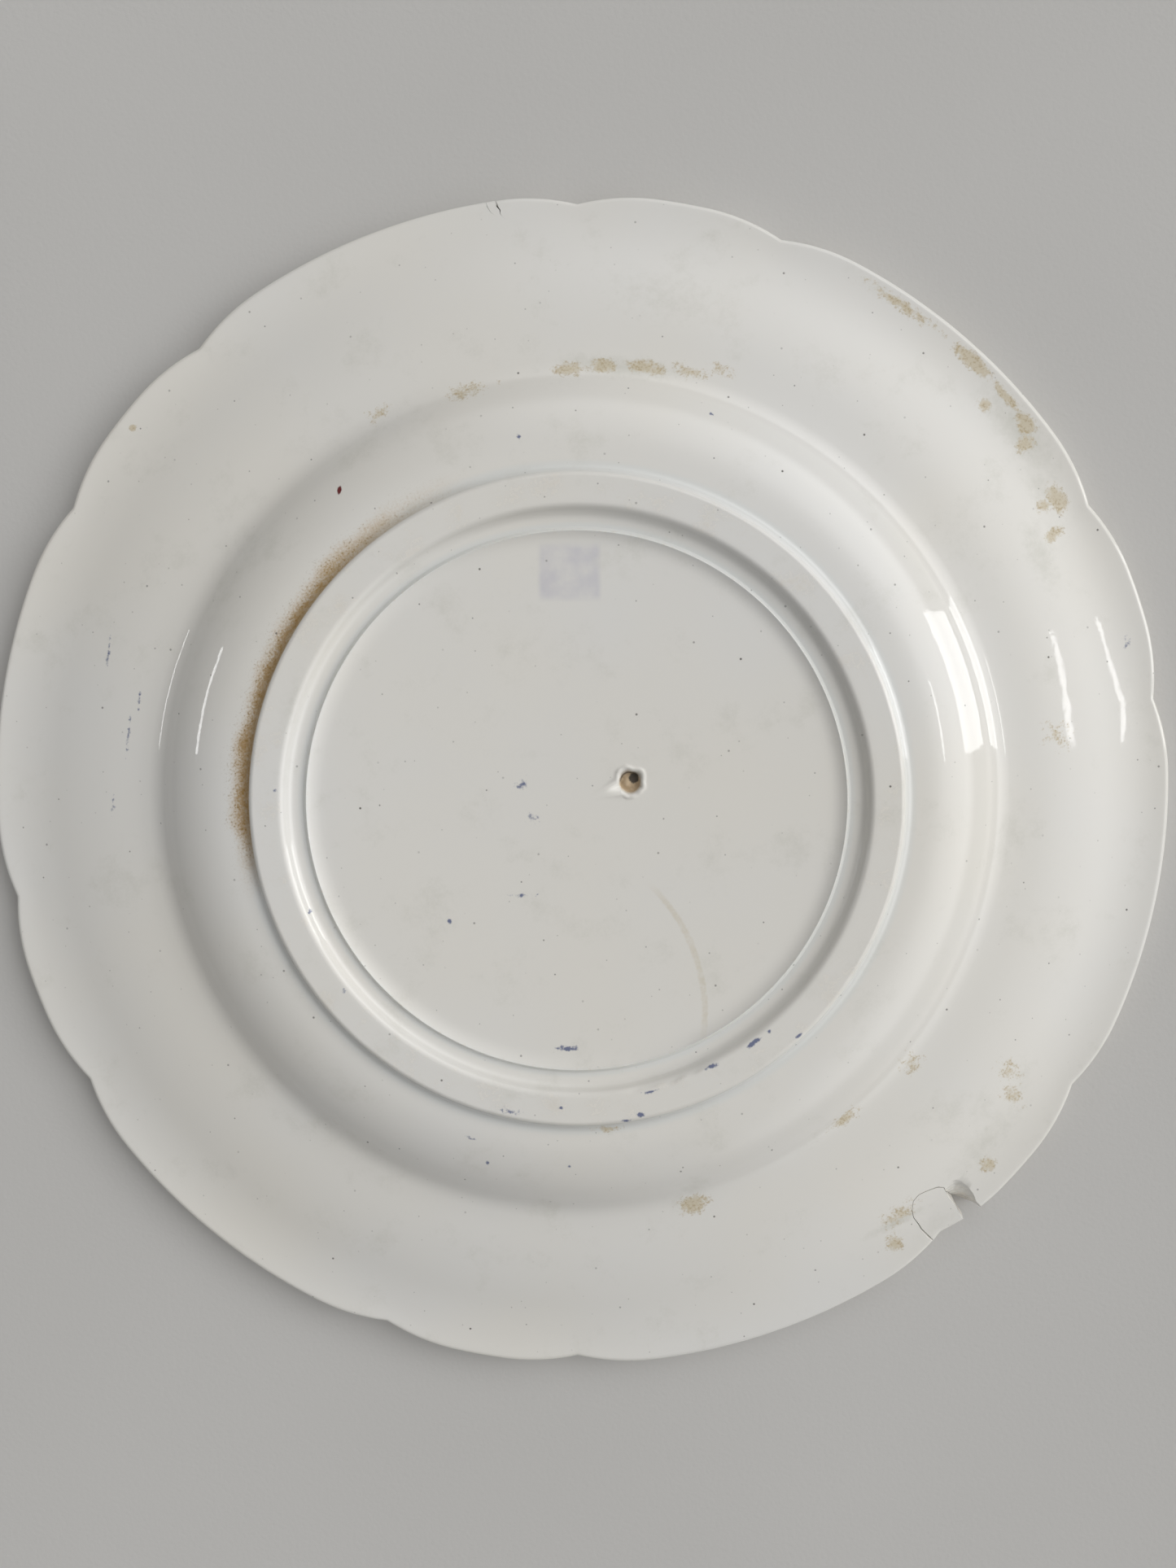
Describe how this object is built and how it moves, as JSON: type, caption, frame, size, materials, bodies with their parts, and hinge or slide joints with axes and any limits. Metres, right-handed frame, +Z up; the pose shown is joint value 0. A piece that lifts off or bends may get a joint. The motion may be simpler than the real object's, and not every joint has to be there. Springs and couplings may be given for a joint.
{
  "type": "scalloped earthenware plate",
  "caption": "Round white-glazed earthenware plate with a scalloped rim, foot ring and ridged recess, lying face down, with a broken rim piece set back in its break.",
  "frame": {"origin": "on the plate's axis, in the plane of the lip that the plate lies on", "axes": "+Z up along the plate's axis, out of the foot ring; +X through the middle of a small lobe of the rim; +Y through the middle of a large lobe"},
  "size_m": [0.207, 0.2068, 0.0168],
  "materials": {
    "plate_glaze": "glossy cream-white glaze with pinholes, stains and small chips",
    "fragment_glaze": "glossy cream-white glaze with matt buff broken sides"
  },
  "bodies": {
    "root": {"plate": "plate_glaze", "rim_fragment": "fragment_glaze"}
  },
  "joints": []
}
